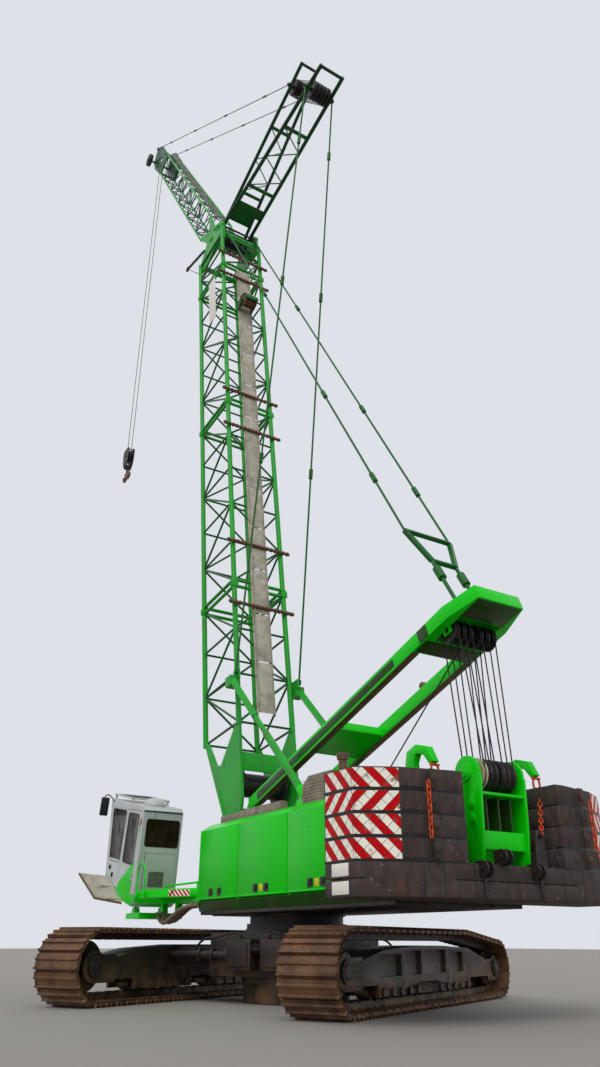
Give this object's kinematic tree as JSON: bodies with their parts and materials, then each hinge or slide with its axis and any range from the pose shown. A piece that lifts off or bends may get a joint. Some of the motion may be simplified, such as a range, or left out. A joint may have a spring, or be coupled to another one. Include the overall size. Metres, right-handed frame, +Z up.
{
  "type": "crawler crane",
  "caption": "Crawler crane with lattice boom, luffing jib, mast, stacked counterweight, tilting cab and hoist hook.",
  "frame": {"origin": "on the ground under the slewing axis", "axes": "+X the way the boom points, +Y to the left, +Z up"},
  "size_m": [19.2495, 9.3183, 35.7664],
  "materials": {
    "bright_green_paint": "gloss machine enamel",
    "chord_green_paint": "weathered enamel on tubes",
    "dark_green_paint": "weathered enamel",
    "cab_grey_paint": "satin enamel",
    "undercarriage_paint": "dusty satin enamel",
    "track_steel": "rusty worn steel",
    "ballast_paint": "matt paint on castings",
    "walkway_steel": "weathered galvanised steel",
    "roof_box_paint": "dusty sheet metal",
    "dark_steel": "greased steel",
    "rope_steel": "greased wire rope",
    "tinted_glass": "tinted glass",
    "seat_plastic": "fine grain"
  },
  "bodies": {
    "undercarriage": {"crawler_frame_left": "undercarriage_paint", "crawler_frame_right": "undercarriage_paint", "track_left": "track_steel", "track_right": "track_steel", "track_wheels_left": "track_steel", "track_wheels_right": "track_steel", "carbody": "undercarriage_paint", "slewing_ring": "undercarriage_paint"},
    "upper": {"revolving_frame": "undercarriage_paint", "housing_left": "bright_green_paint", "housing_right": "bright_green_paint", "engine_block": "dark_steel", "deck_winches": "dark_steel", "roof_boxes": "roof_box_paint", "exhaust_stack": "track_steel", "counterweight_base": "ballast_paint", "counterweight_left": "ballast_paint", "counterweight_right": "ballast_paint", "lower_sheave_block": "bright_green_paint", "lower_sheaves": "dark_steel", "ballast_arms": "bright_green_paint", "cab_platform": "bright_green_paint"},
    "cab": {"cab_shell": "cab_grey_paint", "cab_glass": "tinted_glass", "cab_seat": "seat_plastic"},
    "cab_door": {"cab_door": "cab_grey_paint"},
    "mast": {"mast_frame": "bright_green_paint", "mast_sheaves": "dark_steel"},
    "boom": {"boom_base": "chord_green_paint", "boom_middle": "chord_green_paint", "boom_upper": "chord_green_paint", "boom_head": "bright_green_paint", "boom_walkway": "walkway_steel", "boom_rollers": "track_steel", "boom_winch": "dark_steel", "backstops": "bright_green_paint", "rear_strut_frame": "dark_green_paint", "boom_pendants": "chord_green_paint", "strut_pendants": "chord_green_paint"},
    "jib": {"jib_frame": "dark_green_paint", "jib_head": "bright_green_paint", "jib_walkway": "walkway_steel", "front_strut_frame": "dark_green_paint", "jib_pendants": "rope_steel"},
    "hoist_sheave": {"hoist_sheave": "dark_steel"},
    "hoist_line": {"hoist_ropes": "rope_steel"},
    "hook_block": {"hook_block": "dark_steel"},
    "hook": {"hook": "dark_steel"},
    "door_left_1": {"door_left_1": "bright_green_paint"},
    "door_right_1": {"door_right_1": "bright_green_paint"},
    "door_left_2": {"door_left_2": "bright_green_paint"},
    "door_right_2": {"door_right_2": "bright_green_paint"},
    "door_left_3": {"door_left_3": "bright_green_paint"},
    "door_right_3": {"door_right_3": "bright_green_paint"}
  },
  "joints": [
    {"name": "slew", "type": "hinge", "parent": "undercarriage", "child": "upper", "pos_m": [0, 0, 1.4], "axis": [0, 0, 1], "continuous": true},
    {"name": "cab_tilt", "type": "hinge", "parent": "upper", "child": "cab", "pos_m": [3.79, 1.425, 1.59], "axis": [0, -1, 0], "range_deg": [-10, 10]},
    {"name": "cab_door_swing", "type": "hinge", "parent": "cab", "child": "cab_door", "pos_m": [3.63601, 1.914, 2.7052], "axis": [-0.1736, 0, 0.9848], "range_deg": [0, 95]},
    {"name": "boom_luff", "type": "hinge", "parent": "upper", "child": "boom", "pos_m": [1.3, 0, 2.7], "axis": [0, -1, 0], "range_deg": [-36.7, 0]},
    {"name": "mast_luff", "type": "hinge", "parent": "upper", "child": "mast", "pos_m": [1.3, 0, 2.7], "axis": [0, -1, 0], "range_deg": [-36.7, 0]},
    {"name": "jib_luff", "type": "hinge", "parent": "boom", "child": "jib", "pos_m": [4.74498, 0, 22.71231], "axis": [0, -1, 0], "range_deg": [-43, 8]},
    {"name": "hoist_sheave_turn", "type": "hinge", "parent": "jib", "child": "hoist_sheave", "pos_m": [12.83958, 0, 35.0521], "axis": [0, -1, 0], "range_deg": [-1, 37]},
    {"name": "fall_plumb", "type": "hinge", "parent": "hoist_sheave", "child": "hoist_line", "pos_m": [12.83958, 0, 35.0521], "axis": [0, -1, 0], "range_deg": [-9, 44]},
    {"name": "hoist", "type": "slide", "parent": "hoist_line", "child": "hook_block", "axis": [0, 0, -1], "range_m": [-13, 16.5], "deforming": ["hoist_ropes"]},
    {"name": "hook_swivel", "type": "hinge", "parent": "hook_block", "child": "hook", "pos_m": [12.83958, 0, 17.7521], "axis": [0, 0, 1], "continuous": true},
    {"name": "door_left_1_swing", "type": "hinge", "parent": "upper", "child": "door_left_1", "pos_m": [1.595, 1.31, 2.4], "axis": [0, 0, -1], "range_deg": [0, 90]},
    {"name": "door_right_1_swing", "type": "hinge", "parent": "upper", "child": "door_right_1", "pos_m": [1.595, -1.31, 2.4], "axis": [0, 0, 1], "range_deg": [0, 90]},
    {"name": "door_left_2_swing", "type": "hinge", "parent": "upper", "child": "door_left_2", "pos_m": [0.01, 1.31, 2.4], "axis": [0, 0, -1], "range_deg": [0, 90]},
    {"name": "door_right_2_swing", "type": "hinge", "parent": "upper", "child": "door_right_2", "pos_m": [0.01, -1.31, 2.4], "axis": [0, 0, 1], "range_deg": [0, 90]},
    {"name": "door_left_3_swing", "type": "hinge", "parent": "upper", "child": "door_left_3", "pos_m": [-1.78, 1.31, 2.4], "axis": [0, 0, -1], "range_deg": [0, 90]},
    {"name": "door_right_3_swing", "type": "hinge", "parent": "upper", "child": "door_right_3", "pos_m": [-1.78, -1.31, 2.4], "axis": [0, 0, 1], "range_deg": [0, 90]}
  ],
  "couplings": [
    {"joint": "mast_luff", "follows": "boom_luff", "ratio": 1},
    {"joint": "hoist_sheave_turn", "follows": "boom_luff", "ratio": -1},
    {"joint": "fall_plumb", "follows": "jib_luff", "ratio": -1}
  ]
}
